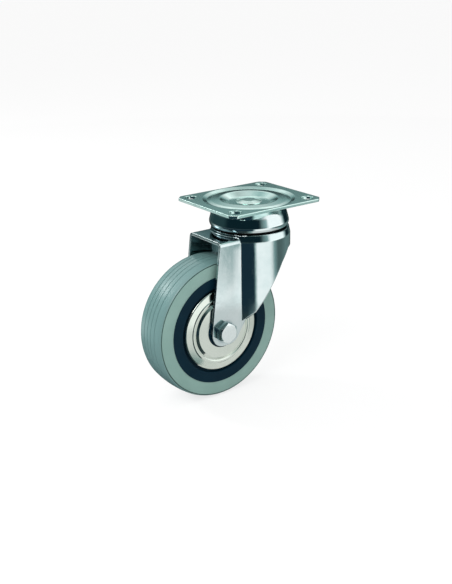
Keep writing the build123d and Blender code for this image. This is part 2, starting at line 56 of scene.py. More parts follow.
bpy.ops.object.camera_add(location=CAMERA_PLACE)
camera = bpy.context.object
camera.name = "camera"
camera.rotation_euler = [math.radians(turn) for turn in CAMERA_TURN]
camera.data.lens = CAMERA_LENS
camera.data.sensor_width = CAMERA_SENSOR_WIDTH
camera.data.clip_start = CAMERA_NEAREST
camera.data.clip_end = CAMERA_FARTHEST
bpy.context.scene.camera = camera
bpy.context.scene.view_settings.view_transform = "Standard"

# ---------------------------------------------------------------------------
# Floor. A pale painted floor under the tyre. The camera sees it almost white,
# with the soft shadow of the castor on it.
# ---------------------------------------------------------------------------
FLOOR_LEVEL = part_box("tyre")[0].z
FLOOR_SIZE = 80.0
FLOOR_PAINT = (0.85, 0.85, 0.85, 1)
FLOOR_ROUGHNESS = 0.9
FLOOR_GLOW_SHARE = 0.66
FLOOR_GLOW = 1.12


def add_node(tree, kind, inputs=(), **settings):
    """Shader node with its settings, each input given a value or linked to an output."""
    node = tree.nodes.new("ShaderNode" + kind)
    for setting, value in settings.items():
        setattr(node, setting, value)
    for socket, value in dict(inputs).items():
        if isinstance(value, bpy.types.NodeSocket):
            tree.links.new(value, node.inputs[socket])
        else:
            node.inputs[socket].default_value = value
    return node


def calculate(tree, operation, *values):
    """Result of a Math node."""
    return add_node(tree, "Math", dict(enumerate(values)), operation=operation).outputs["Value"]


bpy.ops.mesh.primitive_plane_add(size=FLOOR_SIZE, location=(0, 0, FLOOR_LEVEL))
floor = bpy.context.object
floor.name = "floor"
floor_paint = bpy.data.materials.new("floor_paint")
floor_paint.use_nodes = True
tree = floor_paint.node_tree
floor_shader = tree.nodes["Principled BSDF"]
floor_shader.inputs["Base Color"].default_value = FLOOR_PAINT
floor_shader.inputs["Roughness"].default_value = FLOOR_ROUGHNESS
floor_glow = add_node(tree, "Emission", {"Strength": FLOOR_GLOW})
seen_by_camera = add_node(tree, "LightPath").outputs["Is Camera Ray"]
floor_mix = add_node(tree, "MixShader", {
    "Fac": calculate(tree, "MULTIPLY", seen_by_camera, FLOOR_GLOW_SHARE),
    1: floor_shader.outputs["BSDF"],
    2: floor_glow.outputs["Emission"],
})
tree.links.new(floor_mix.outputs["Shader"], tree.nodes["Material Output"].inputs["Surface"])
floor.data.materials.append(floor_paint)

# ---------------------------------------------------------------------------
# Studio light. An even white room, a large soft lamp high on the left of the
# wheel, at a level at which colours show about as they are mixed, and a small
# one on the far side that lights the tread and doesn't show in the metal.
# ---------------------------------------------------------------------------
WHITE = (1, 1, 1, 1)
ROOM_LEVEL = 0.72
SOFT_LAMP_PLACE = (-0.95, -0.35, 0.95)
SOFT_LAMP_AIM = (-0.02, 0, -0.08)
SOFT_LAMP_SIZE = 0.8
SOFT_LAMP_POWER = 7.0
RIM_LAMP_PLACE = (-0.62, 0.95, 0.50)
RIM_LAMP_AIM = (-0.06, 0, -0.07)
RIM_LAMP_SIZE = 0.25
RIM_LAMP_POWER = 5.0


def add_square_lamp(name, place, aim, size, power):
    """Square area lamp at a place, turned to its aim."""
    bpy.ops.object.light_add(type="AREA", location=place)
    lamp = bpy.context.object
    lamp.name = name
    lamp.data.shape = "SQUARE"
    lamp.data.size = size
    lamp.data.energy = power
    lamp.rotation_euler = (Vector(aim) - Vector(place)).to_track_quat("-Z", "Y").to_euler()
    return lamp


room = bpy.data.worlds.new("room")
bpy.context.scene.world = room
room.use_nodes = True
tree = room.node_tree
room_light = tree.nodes["Background"]
room_light.inputs["Color"].default_value = WHITE
room_light.inputs["Strength"].default_value = ROOM_LEVEL
room_mix = add_node(tree, "MixShader", {
    "Fac": add_node(tree, "LightPath").outputs["Is Camera Ray"],
    1: room_light.outputs["Background"],
    2: add_node(tree, "Background", {"Color": WHITE}).outputs["Background"],
})
tree.links.new(room_mix.outputs["Shader"], tree.nodes["World Output"].inputs["Surface"])
add_square_lamp("soft_lamp", SOFT_LAMP_PLACE, SOFT_LAMP_AIM, SOFT_LAMP_SIZE, SOFT_LAMP_POWER)
rim_lamp = add_square_lamp("rim_lamp", RIM_LAMP_PLACE, RIM_LAMP_AIM, RIM_LAMP_SIZE, RIM_LAMP_POWER)
rim_lamp.visible_glossy = False

# ---------------------------------------------------------------------------
# Reflector round the castor. Bright metal shows what stands round it, so it
# gets a painted card all round: white on the right and overhead, dark on the
# left. It shows only in reflections and throws no light or shadow.
# ---------------------------------------------------------------------------
CARD_REACH = 1.2
CARD_STEP = 3
CARD_FLOOR = FLOOR_LEVEL + 0.0005
DARK = (0.004, 0.016, 0.022)
FLOOR_DARK = (0.010, 0.028, 0.043)
DIM = (0.02, 0.05, 0.055)
SHADE_LIMIT = 0.5
SHADE_RED = 0.64
LIGHT_RED = 0.97

# Paint is a tone at some azimuths, blended between them. Azimuth 0 is the near side and 90 the
# side that the wheel trails to. A tone is a brightness, or a colour of its own where it's dark.
NEAR_FLOOR_PAINT = [
    (-180, 0.04), (-130, 0.04), (-105, 0.25), (-80, 0.38), (-60, 0.50), (-45, 0.62), (-33, 0.68),
    (20, 0.70), (32, 0.3), (45, 0.05), (120, FLOOR_DARK), (180, 0.04),
]
MIDDLE_FLOOR_PAINT = [
    (-180, 0.04), (-130, 0.04), (-105, 0.2), (-80, 0.3), (-60, 0.45), (-45, 0.62), (-33, 0.70),
    (-22, 1.05), (18, 1.05), (24, 0.3), (27, FLOOR_DARK), (115, FLOOR_DARK), (130, 0.45),
    (145, 0.75), (160, 0.2), (180, 0.04),
]
FAR_FLOOR_PAINT = [
    (-180, 0.04), (-130, 0.04), (-105, 0.2), (-80, 0.22), (-60, 0.14), (-45, 0.13), (-33, 0.35),
    (-24, 0.9), (-18, 1.05), (18, 1.05), (24, 0.3), (27, FLOOR_DARK), (115, FLOOR_DARK),
    (130, 0.45), (145, 0.75), (160, 0.2), (180, 0.04),
]

# Each ring of the card is its radius, its height and its paint, from the floor up and over.
CARD_RINGS = [
    (0.06, CARD_FLOOR, NEAR_FLOOR_PAINT),
    (0.165, CARD_FLOOR, NEAR_FLOOR_PAINT),
    (0.19, CARD_FLOOR, MIDDLE_FLOOR_PAINT),
    (0.21, CARD_FLOOR, MIDDLE_FLOOR_PAINT),
    (0.26, CARD_FLOOR, FAR_FLOOR_PAINT),
    (0.50, CARD_FLOOR, FAR_FLOOR_PAINT),
    (0.80, CARD_FLOOR, [
        (-180, 0.12), (-120, 0.08), (-95, DARK), (-83, DARK), (-77, 0.3), (-68, 1.35),
        (-20, 1.35), (-8, 0.5), (5, 0.25), (30, 0.12), (180, 0.12),
    ]),
    (CARD_REACH, CARD_FLOOR, [
        (-180, DIM), (-120, DARK), (-84, DARK), (-79, 0.3), (-68, 1.3), (-20, 1.3),
        (-10, 0.35), (5, 0.15), (12, DARK), (100, DARK), (115, DIM), (180, DIM),
    ]),
    (CARD_REACH, 0.0, [
        (-180, 0.05), (-120, DARK), (-84, DARK), (-78, 0.3), (-66, 1.15), (-20, 1.15),
        (-12, 0.35), (0, 0.15), (8, DARK), (100, DARK), (115, DIM), (160, DIM), (180, 0.12),
    ]),
    (CARD_REACH, 0.22, [
        (-180, 0.08), (-120, 0.08), (-95, DIM), (-84, DARK), (-75, 0.3), (-62, 1.1),
        (-20, 1.15), (-13, 0.45), (0, 0.2), (8, DARK), (100, DARK), (115, DIM), (160, DIM),
        (180, 0.08),
    ]),
    (CARD_REACH, 0.38, [
        (-180, 0.37), (-120, 0.36), (-95, DIM), (-84, DARK), (-75, 0.3), (-62, 1.15),
        (-20, 1.15), (-14, 0.5), (0, 0.2), (8, DARK), (100, DARK), (115, DIM), (145, 0.13),
        (165, 0.2), (180, 0.36),
    ]),
    (CARD_REACH, 0.62, [
        (-180, 0.66), (-120, 0.66), (-85, 0.5), (-62, 1.1), (-20, 1.1), (0, 0.4), (15, 0.1),
        (25, DARK), (95, DARK), (112, 0.3), (138, 0.3), (144, 6.0), (158, 6.0), (164, 0.6),
        (180, 0.66),
    ]),
    (CARD_REACH, 0.86, [
        (-180, 0.9), (-90, 1.1), (-30, 1.1), (-10, 0.4), (0, 0.12), (25, DARK), (100, DARK),
        (115, 0.6), (130, 1.1), (180, 0.9),
    ]),
    (0.9, 1.3, [
        (-180, 0.45), (-120, 0.5), (-80, 1.1), (-40, 1.1), (-15, 0.4), (0, 0.14), (30, 0.2),
        (100, 0.5), (120, 1.1), (150, 1.0), (180, 0.45),
    ]),
    (0.0, 1.5, [(-180, 1.1), (180, 1.1)]),
]


def card_tone(tone):
    """Colour of a tone: a brightness gives a cool grey, with less red in the shade."""
    if isinstance(tone, tuple):
        return tone
    return (tone * (SHADE_RED if tone < SHADE_LIMIT else LIGHT_RED), tone, tone)


def card_colour(paint, azimuth):
    """Colour of a ring's paint at an azimuth."""
    after = next(i for i, stop in enumerate(paint) if stop[0] >= azimuth)
    before = max(after - 1, 0)
    span = paint[after][0] - paint[before][0]
    share = (azimuth - paint[before][0]) / span if span else 0.0
    return Vector(card_tone(paint[before][1])).lerp(Vector(card_tone(paint[after][1])), share)


card_azimuths = range(-180, 181, CARD_STEP)
row = len(card_azimuths)
card_points, card_colours = [], []
for radius, height, paint in CARD_RINGS:
    for azimuth in card_azimuths:
        angle = math.radians(azimuth)
        card_points.append((-radius * math.sin(angle), -radius * math.cos(angle), height))
        card_colours.append((*card_colour(paint, azimuth), 1.0))
card_faces = [
    (ring * row + i, ring * row + i + 1, (ring + 1) * row + i + 1, (ring + 1) * row + i)
    for ring in range(len(CARD_RINGS) - 1)
    for i in range(row - 1)
]
card_mesh = bpy.data.meshes.new("reflector")
card_mesh.from_pydata(card_points, [], card_faces)
paint_layer = card_mesh.color_attributes.new("paint", "FLOAT_COLOR", "POINT")
for point, colour in zip(paint_layer.data, card_colours):
    point.color = colour
card_paint = bpy.data.materials.new("reflector_paint")
card_paint.use_nodes = True
tree = card_paint.node_tree
tree.nodes.remove(tree.nodes["Principled BSDF"])
painted = add_node(tree, "Attribute", attribute_name="paint")
card_glow = add_node(tree, "Emission", {"Color": painted.outputs["Color"]})
tree.links.new(card_glow.outputs["Emission"], tree.nodes["Material Output"].inputs["Surface"])
card_mesh.materials.append(card_paint)
reflector = bpy.data.objects.new("reflector", card_mesh)
bpy.context.scene.collection.objects.link(reflector)
reflector.visible_camera = False
reflector.visible_diffuse = False
reflector.visible_shadow = False
reflector.visible_transmission = False

# ---------------------------------------------------------------------------
# Mounting plate. A rectangular steel blank with four bolt holes, pressed with
# a ring groove and a dished middle, then zinc plated. The plating is a cool
# grey with a fine grain, a little cloudy, scratched, and worn round its edges.
# ---------------------------------------------------------------------------
GRAIN_DETAIL = 3.0
GRAIN_ROUGHNESS = 0.65
CLOUDS_PER_METRE = 95.0
CLOUD_DETAIL = 4.0
CLOUD_RANGE = (0.35, 0.68)
SCRATCH_TURN = (0.3, 0.5, 0.7)
SCRATCHES_PER_METRE = (2200.0, 60.0, 2200.0)
SCRATCH_RANGE = (0.66, 0.74)
WORN_EDGE_SAMPLES = 6
MIX_SHARE = 0
MIX_FIRST = 6
MIX_SECOND = 7
MIX_RESULT = 2


def new_group(name, inputs, outputs):
    """Shader node group with those sockets, and the nodes of its inputs and outputs."""
    group = bpy.data.node_groups.new(name, "ShaderNodeTree")
    for in_out, sockets in (("INPUT", inputs), ("OUTPUT", outputs)):
        for socket_name, kind in sockets.items():
            group.interface.new_socket(socket_name, in_out=in_out, socket_type="NodeSocket" + kind)
    return group, group.nodes.new("NodeGroupInput"), group.nodes.new("NodeGroupOutput")


def map_range(tree, value, from_range=(0.0, 1.0), to_range=(0.0, 1.0)):
    """Value carried from one range to another."""
    return add_node(tree, "MapRange", {
        "Value": value, "From Min": from_range[0], "From Max": from_range[1],
        "To Min": to_range[0], "To Max": to_range[1],
    }).outputs["Result"]


grain_group, group_in, group_out = new_group(
    "surface_grain",
    {"Place": "Vector", "Grains per metre": "Float"},
    {"Grain": "Float", "Cloud": "Float", "Scratch": "Float"},
)
grain_noise = add_node(grain_group, "TexNoise", {
    "Vector": group_in.outputs["Place"], "Scale": group_in.outputs["Grains per metre"],
    "Detail": GRAIN_DETAIL, "Roughness": GRAIN_ROUGHNESS,
})
cloud_noise = add_node(grain_group, "TexNoise", {
    "Vector": group_in.outputs["Place"], "Scale": CLOUDS_PER_METRE, "Detail": CLOUD_DETAIL,
})
scratch_place = add_node(grain_group, "Mapping", {
    "Vector": group_in.outputs["Place"], "Rotation": SCRATCH_TURN, "Scale": SCRATCHES_PER_METRE,
})
scratch_noise = add_node(grain_group, "TexNoise", {
    "Vector": scratch_place.outputs["Vector"], "Scale": 1.0, "Detail": 1.0,
})
for socket_name, mask in (
    ("Grain", grain_noise.outputs["Fac"]),
    ("Cloud", map_range(grain_group, cloud_noise.outputs["Fac"], CLOUD_RANGE)),
    ("Scratch", map_range(grain_group, scratch_noise.outputs["Fac"], SCRATCH_RANGE)),
):
    grain_group.links.new(mask, group_out.inputs[socket_name])

worn_edge_group, group_in, group_out = new_group(
    "worn_edge", {"Radius": "Float"}, {"Normal": "Vector"}
)
rounded_edge = add_node(
    worn_edge_group, "Bevel", {"Radius": group_in.outputs["Radius"]}, samples=WORN_EDGE_SAMPLES
)
worn_edge_group.links.new(rounded_edge.outputs["Normal"], group_out.inputs["Normal"])


def add_bump(material, height, distance):
    """Raise the surface by a height, on top of the bumps that it already has."""
    tree = material.node_tree
    normal = tree.nodes["Principled BSDF"].inputs["Normal"]
    inputs = {"Height": height, "Distance": distance}
    if normal.is_linked:
        inputs["Normal"] = normal.links[0].from_socket
    tree.links.new(add_node(tree, "Bump", inputs).outputs["Normal"], normal)


def add_tint(material, share, tint):
    """Blend the colour that the surface already has into a tint, by a share from 0 to 1."""
    tree = material.node_tree
    base = tree.nodes["Principled BSDF"].inputs["Base Color"]
    present = base.links[0].from_socket if base.is_linked else tuple(base.default_value)
    mix = add_node(tree, "Mix", {
        MIX_SHARE: share, MIX_FIRST: present, MIX_SECOND: (*tint, 1),
    }, data_type="RGBA")
    tree.links.new(mix.outputs[MIX_RESULT], base)


def new_finish(name, tint, cloud_tint, grain_size, grain_depth, edge_round):
    """Material with clouds of colour and a fine grain, its shader and its surface masks."""
    material = bpy.data.materials.new(name)
    material.use_nodes = True
    tree = material.node_tree
    shader = tree.nodes["Principled BSDF"]
    grain = add_node(tree, "Group", {
        "Place": add_node(tree, "TexCoord").outputs["Object"], "Grains per metre": 1.0 / grain_size,
    }, node_tree=grain_group)
    shader.inputs["Base Color"].default_value = (*tint, 1)
    add_tint(material, grain.outputs["Cloud"], cloud_tint)
    if edge_round:
        worn_edge = add_node(tree, "Group", {"Radius": edge_round}, node_tree=worn_edge_group)
        tree.links.new(worn_edge.outputs["Normal"], shader.inputs["Normal"])
    add_bump(material, grain.outputs["Grain"], grain_depth)
    return material, shader, grain.outputs


def plated_metal(
    name, tint, cloud_tint, roughness, grain_size, grain_depth, scratch_share=0.08, edge_round=0.0
):
    """Bright metal whose gloss varies with its clouds, and is dulled along its scratches."""
    material, shader, masks = new_finish(
        name, tint, cloud_tint, grain_size, grain_depth, edge_round
    )
    tree = material.node_tree
    shader.inputs["Metallic"].default_value = 1.0
    gloss = map_range(tree, masks["Cloud"], to_range=roughness)
    dulled = calculate(tree, "MULTIPLY_ADD", masks["Scratch"], scratch_share, gloss)
    tree.links.new(dulled, shader.inputs["Roughness"])
    return material


def coat(node_name, material):
    """Put this finish on the slot of a CAD node."""
    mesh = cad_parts[node_name].data
    mesh.materials.clear()
    mesh.materials.append(material)


plate_zinc = plated_metal(
    "plate_zinc", tint=(0.80, 1.0, 0.95), cloud_tint=(0.64, 0.88, 0.83), roughness=(0.10, 0.17),
    grain_size=0.0006, grain_depth=0.00001, edge_round=0.0004,
)
coat("top_plate", plate_zinc)

# ---------------------------------------------------------------------------
# Kingpin. The turned steel pin that holds plate and fork together, riveted
# over in the plate's dish, so its head is a little rough from the press.
# ---------------------------------------------------------------------------
kingpin_zinc = plated_metal(
    "kingpin_zinc", tint=(0.86, 1.0, 0.96), cloud_tint=(0.62, 0.84, 0.78), roughness=(0.12, 0.24),
    grain_size=0.0011, grain_depth=0.00005, scratch_share=0.12,
)
coat("kingpin", kingpin_zinc)

# ---------------------------------------------------------------------------
# Bearing cup. A deep-drawn zinc plated cup under the plate. Drawing leaves
# fine upright marks in its wall.
# ---------------------------------------------------------------------------
DRAW_MARKS_PER_METRE = (900.0, 900.0, 45.0)
DRAW_MARK_DETAIL = 2.0
DRAW_MARK_DEPTH = 0.000015

cup_zinc = plated_metal(
    "cup_zinc", tint=(0.82, 0.88, 0.88), cloud_tint=(0.72, 0.80, 0.81), roughness=(0.05, 0.10),
    grain_size=0.0007, grain_depth=0.000008,
)
tree = cup_zinc.node_tree
mark_place = add_node(tree, "Mapping", {
    "Vector": add_node(tree, "TexCoord").outputs["Object"], "Scale": DRAW_MARKS_PER_METRE,
})
draw_marks = add_node(tree, "TexNoise", {
    "Vector": mark_place.outputs["Vector"], "Scale": 1.0, "Detail": DRAW_MARK_DETAIL,
})
add_bump(cup_zinc, draw_marks.outputs["Fac"], DRAW_MARK_DEPTH)
coat("bearing_cup", cup_zinc)

# ---------------------------------------------------------------------------
# Dust seal. A black rubber ring held inside the foot of the cup. It closes the
# gap over the fork's head and keeps dirt out of the balls.
# ---------------------------------------------------------------------------
def dull_polymer(name, tint, cloud_tint, roughness, specular, grain_size, grain_depth):
    """Rubber or plastic with a faint mottle of colour and gloss and a fine moulded grain."""
    material, shader, masks = new_finish(name, tint, cloud_tint, grain_size, grain_depth, 0.0)
    tree = material.node_tree
    shader.inputs["Specular IOR Level"].default_value = specular
    gloss = map_range(tree, masks["Grain"], to_range=roughness)
    tree.links.new(gloss, shader.inputs["Roughness"])
    return material


seal_rubber = dull_polymer(
    "seal_rubber", tint=(0.008, 0.010, 0.011), cloud_tint=(0.016, 0.019, 0.020),
    roughness=(0.5, 0.7), specular=0.3, grain_size=0.0008, grain_depth=0.00002,
)
coat("dust_seal", seal_rubber)

# ---------------------------------------------------------------------------
# Ball rings and lower race. Hardened polished balls over and under the fork's
# head, and a turned race ring under them, all with a thin film of grease.
# ---------------------------------------------------------------------------
ball_steel = plated_metal(
    "ball_steel", tint=(0.62, 0.64, 0.64), cloud_tint=(0.52, 0.52, 0.48), roughness=(0.06, 0.16),
    grain_size=0.0012, grain_depth=0.000004, scratch_share=0.05,
)
race_steel = plated_metal(
    "race_steel", tint=(0.52, 0.56, 0.56), cloud_tint=(0.42, 0.44, 0.42), roughness=(0.2, 0.32),
    grain_size=0.0007, grain_depth=0.00001, scratch_share=0.1,
)
for balls in ("upper_balls", "lower_balls"):
    coat(balls, ball_steel)
coat("lower_race", race_steel)

# ---------------------------------------------------------------------------
# Fork. One pressing of 2 mm steel: a round head, a crown, and two legs, flat in
# front and bulging behind a sharp crease. Its zinc is almost a mirror, with a
# faint orange peel and a soft roll of the flats at the crease; its corners get painted shade.
# ---------------------------------------------------------------------------
PEEL_PER_METRE = 160.0
PEEL_DETAIL = 2.0
PEEL_DEPTH = 0.00005
CREASE_PLACE = -0.0207
CREASE_BLEND = 0.0075
CREASE_RISE = 0.00032
CREASE_CURVE = 2.0
CROWN_BEND_HEIGHTS = (-0.0250, -0.0290)
CORNER_REACH = 0.03
CORNER_SAMPLES = 8
CORNER_OPENNESS = (0.76, 0.42)
CORNER_PAINTED_SHADE = (0.12, 0.22, 0.25)

fork_zinc = plated_metal(
    "fork_zinc", tint=(0.76, 0.84, 0.84), cloud_tint=(0.68, 0.78, 0.78), roughness=(0.06, 0.12),
    grain_size=0.0007, grain_depth=0.00001, scratch_share=0.1, edge_round=0.0009,
)
tree = fork_zinc.node_tree
fork_place = add_node(tree, "TexCoord").outputs["Object"]
peel = add_node(tree, "TexNoise", {
    "Vector": fork_place, "Scale": PEEL_PER_METRE, "Detail": PEEL_DETAIL,
})
add_bump(fork_zinc, peel.outputs["Fac"], PEEL_DEPTH)
split_place = add_node(tree, "SeparateXYZ", {"Vector": fork_place})
to_crease = map_range(tree, split_place.outputs["X"], (CREASE_PLACE - CREASE_BLEND, CREASE_PLACE))
below_crown = map_range(tree, split_place.outputs["Z"], CROWN_BEND_HEIGHTS)
before_crease = calculate(tree, "LESS_THAN", split_place.outputs["X"], CREASE_PLACE)
on_leg = calculate(tree, "MULTIPLY", before_crease, below_crown)
crease_curve = calculate(tree, "POWER", to_crease, CREASE_CURVE)
add_bump(fork_zinc, calculate(tree, "MULTIPLY", crease_curve, on_leg), CREASE_RISE)
# Painted shade: the zinc is tinted darker where ambient occlusion finds it closed in, in corners
# and under the crown.
openness = add_node(
    tree, "AmbientOcclusion", {"Distance": CORNER_REACH}, samples=CORNER_SAMPLES
).outputs["AO"]
add_tint(fork_zinc, map_range(tree, openness, CORNER_OPENNESS), CORNER_PAINTED_SHADE)
coat("fork", fork_zinc)

# ---------------------------------------------------------------------------
# Tyre. Solid grey rubber moulded on the rim, with a fine groove round each side
# and a slightly crowned tread with four more. The tread is bluer and glossier
# than the sides. Points of its section are (radius, place across the wheel).
# ---------------------------------------------------------------------------
AXLE_X = -0.035
AXLE_Z = -0.085
TYRE_RADIUS = 0.050
TYRE_HALF_WIDTH = 0.013
TYRE_BORE = 0.0387
BORE_LIP_RADIUS = 0.0392
SHOULDER_POINTS = (
    (0.0474, 0.0130), (0.04758, 0.01293), (0.04770, 0.01215), (0.04812, 0.01215),
    (0.04826, 0.01284), (0.0484, 0.01274), (0.04862, 0.01248), (0.04880, 0.01210),
    (0.04891, 0.0116),
)
TREAD_CROWN = 0.0011
TREAD_STEP = 0.001
TREAD_STEPS = 11
TREAD_GROOVES = (-0.0062, -0.0020, 0.0020, 0.0062)
GROOVE_HALF_WIDTH = 0.00024
GROOVE_DEPTH = 0.00055
GROOVE_SECTION = ((-1.4, 0.0), (-1.0, 0.25), (-0.5, 1.0), (0.5, 1.0), (1.0, 0.25), (1.4, 0.0))
TYRE_STEPS = 192
WELD_DISTANCE = 0.000001
START_SIZE = 0.001
SMOOTH_ANGLE = math.radians(28)
TREAD_EDGE_RADII = (0.0479, 0.0486)
TREAD_TINT = (0.158, 0.292, 0.286)
TREAD_SHEEN = 0.6
TREAD_SHEEN_ROUGHNESS = 0.2
SIDE_GROOVE_RADIUS = 0.04791
SIDE_GROOVE_HALF_WIDTH = 0.00028
SIDE_GROOVE_PAINTED_SHADE = (0.050, 0.105, 0.100)


def tread_radius(place):
    """Radius of the crowned tread at a place across it."""
    return TYRE_RADIUS - TREAD_CROWN * (place / TYRE_HALF_WIDTH) ** 2


tread_line = []
for place in [step * TREAD_STEP for step in range(-TREAD_STEPS, TREAD_STEPS + 1)]:
    if all(abs(place - groove) > 2 * GROOVE_HALF_WIDTH for groove in TREAD_GROOVES):
        tread_line.append((tread_radius(place), place))
for groove in TREAD_GROOVES:
    for across, depth in GROOVE_SECTION:
        tread_line.append((
            tread_radius(groove) - depth * GROOVE_DEPTH, groove + across * GROOVE_HALF_WIDTH
        ))
tread_line.sort(key=lambda point: point[1])
tyre_section = [
    (TYRE_BORE, -TYRE_HALF_WIDTH), (BORE_LIP_RADIUS, -TYRE_HALF_WIDTH),
    *[(radius, -place) for radius, place in SHOULDER_POINTS],
    *tread_line,
    *SHOULDER_POINTS[::-1],
    (BORE_LIP_RADIUS, TYRE_HALF_WIDTH), (TYRE_BORE, TYRE_HALF_WIDTH),
]

bpy.ops.object.select_all(action="DESELECT")
first_point = (AXLE_X + TYRE_BORE, -TYRE_HALF_WIDTH, AXLE_Z)
bpy.ops.mesh.primitive_plane_add(size=START_SIZE, location=first_point)
tyre = bpy.context.object
tyre.name = "tyre_rubber"
bpy.ops.object.transform_apply(location=True, rotation=True, scale=True)
bpy.ops.object.mode_set(mode="EDIT")
bpy.ops.mesh.select_all(action="SELECT")
bpy.ops.mesh.merge(type="CENTER")
for before, after in zip(tyre_section, tyre_section[1:] + tyre_section[:1]):
    step = (after[0] - before[0], after[1] - before[1], 0.0)
    bpy.ops.mesh.extrude_region_move(TRANSFORM_OT_translate={"value": step})
bpy.ops.mesh.select_all(action="SELECT")
bpy.ops.mesh.remove_doubles(threshold=WELD_DISTANCE)
bpy.ops.mesh.select_all(action="SELECT")
bpy.ops.mesh.spin(
    steps=TYRE_STEPS, angle=math.tau, center=(AXLE_X, 0.0, AXLE_Z), axis=(0, 1, 0)
)
bpy.ops.mesh.select_all(action="SELECT")
bpy.ops.mesh.remove_doubles(threshold=WELD_DISTANCE)
bpy.ops.mesh.normals_make_consistent(inside=False)
bpy.ops.object.mode_set(mode="OBJECT")
bpy.ops.object.shade_smooth_by_angle(angle=SMOOTH_ANGLE)

grey_rubber = dull_polymer(
    "grey_rubber", tint=(0.240, 0.405, 0.360), cloud_tint=(0.260, 0.430, 0.382),
    roughness=(0.32, 0.44), specular=0.6, grain_size=0.0006, grain_depth=0.00002,
)
tree = grey_rubber.node_tree
tyre_shader = tree.nodes["Principled BSDF"]
to_axle = add_node(tree, "Mapping", {
    "Vector": add_node(tree, "TexCoord").outputs["Object"],
    "Location": (-AXLE_X, 0.0, -AXLE_Z), "Scale": (1.0, 0.0, 1.0),
})
from_axle = add_node(
    tree, "VectorMath", {0: to_axle.outputs["Vector"]}, operation="LENGTH"
).outputs["Value"]
on_tread = map_range(tree, from_axle, TREAD_EDGE_RADII)
add_tint(grey_rubber, on_tread, TREAD_TINT)
# Painted shade: the fine groove round each side is tinted darker, so that it shows as a dark line.
side_groove_shade_mask = calculate(tree, "COMPARE", from_axle, SIDE_GROOVE_RADIUS, SIDE_GROOVE_HALF_WIDTH)
add_tint(grey_rubber, side_groove_shade_mask, SIDE_GROOVE_PAINTED_SHADE)
tread_sheen = calculate(tree, "MULTIPLY", on_tread, TREAD_SHEEN)
tree.links.new(tread_sheen, tyre_shader.inputs["Coat Weight"])
tyre_shader.inputs["Coat Roughness"].default_value = TREAD_SHEEN_ROUGHNESS
tyre.data.materials.append(grey_rubber)
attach(tyre, "wheel")
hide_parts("tyre")

# ---------------------------------------------------------------------------
# Wheel centre and bush. Moulded dark navy plastic: hub, web and ring in one,
# with a plain steel bush for the rollers pressed into the hub.
# ---------------------------------------------------------------------------
navy_plastic = dull_polymer(
    "navy_plastic", tint=(0.0008, 0.017, 0.032), cloud_tint=(0.0012, 0.021, 0.038),
    roughness=(0.42, 0.55), specular=0.08, grain_size=0.0005, grain_depth=0.000012,
)
bush_steel = plated_metal(
    "bush_steel", tint=(0.55, 0.57, 0.57), cloud_tint=(0.45, 0.46, 0.44), roughness=(0.18, 0.3),
    grain_size=0.0006, grain_depth=0.000008, scratch_share=0.1,
)
coat("wheel_rim", navy_plastic)
coat("hub_bush", bush_steel)

# ---------------------------------------------------------------------------
# Cover discs. Thin bright nickel plated steel, spun to shape, one pressed in
# each side of the wheel. Spinning leaves faint rings round the axle.
# ---------------------------------------------------------------------------
SPIN_RINGS_PER_METRE = 420.0
SPIN_RING_WANDER = 0.6
SPIN_RING_DEPTH = 0.000004

disc_nickel = plated_metal(
    "disc_nickel", tint=(0.84, 0.89, 0.81), cloud_tint=(0.77, 0.83, 0.75), roughness=(0.12, 0.18),
    grain_size=0.0007, grain_depth=0.000008,
)
tree = disc_nickel.node_tree
ring_place = add_node(tree, "Mapping", {
    "Vector": add_node(tree, "TexCoord").outputs["Object"], "Location": (-AXLE_X, 0.0, -AXLE_Z),
})
spin_rings = add_node(tree, "TexWave", {
    "Vector": ring_place.outputs["Vector"], "Scale": SPIN_RINGS_PER_METRE,
    "Distortion": SPIN_RING_WANDER,
}, wave_type="RINGS", rings_direction="Y")
add_bump(disc_nickel, spin_rings.outputs["Fac"], SPIN_RING_DEPTH)
for disc in ("cover_disc_near", "cover_disc_far"):
    coat(disc, disc_nickel)

# ---------------------------------------------------------------------------
# Roller bearing. Ten ground rollers in a nylon cage between the bush and the
# zinc plated spacer tube on the axle, closed by a nylon washer at each end.
# ---------------------------------------------------------------------------
roller_steel = plated_metal(
    "roller_steel", tint=(0.60, 0.62, 0.62), cloud_tint=(0.52, 0.53, 0.50), roughness=(0.1, 0.18),
    grain_size=0.0009, grain_depth=0.000004, scratch_share=0.06,
)
sleeve_zinc = plated_metal(
    "sleeve_zinc", tint=(0.66, 0.74, 0.73), cloud_tint=(0.55, 0.64, 0.63), roughness=(0.2, 0.3),
    grain_size=0.0006, grain_depth=0.00001, scratch_share=0.1,
)
cage_nylon = dull_polymer(
    "cage_nylon", tint=(0.62, 0.63, 0.56), cloud_tint=(0.56, 0.57, 0.50), roughness=(0.38, 0.5),
    specular=0.45, grain_size=0.0006, grain_depth=0.00001,
)
coat("rollers", roller_steel)
coat("axle_sleeve", sleeve_zinc)
for nylon_part in ("roller_cage", "cage_washer_near", "cage_washer_far"):
    coat(nylon_part, cage_nylon)

# ---------------------------------------------------------------------------
# Axle bolt. A zinc plated hexagon bolt through both legs: the head's face is
# chamfered round its corners, and the end past the nut shows its thread. The
# thread's ridge is given in parts of its pitch, and sinks a little in the core.
# ---------------------------------------------------------------------------
BOLT_SEAT = -0.018
BOLT_HEAD_HEIGHT = 0.005
BOLT_END = 0.0276
HEX_FLATS = 0.013
HEX_FACE_RADIUS = 0.00615
HEX_CHAMFER_SLOPE = math.tan(math.radians(60))
HEX_CHAMFER_STEPS = 96
HEX_EDGE_ROUND = 0.00018
HEX_EDGE_STEPS = 3
HEX_EDGE_ANGLE = math.radians(25)
THREAD_START = 0.0150
THREAD_PITCH = 0.00125
THREAD_OUTER = 0.0040
THREAD_CORE = 0.00328
THREAD_SINK = 0.0001
THREAD_FOOT_HALF = 0.45
THREAD_CREST_HALF = 0.07
THREAD_STEPS = 48
MOST_HOLE_SIDES = 8
SHANK_STEPS = 64
JOINT_OVERLAP = 0.001


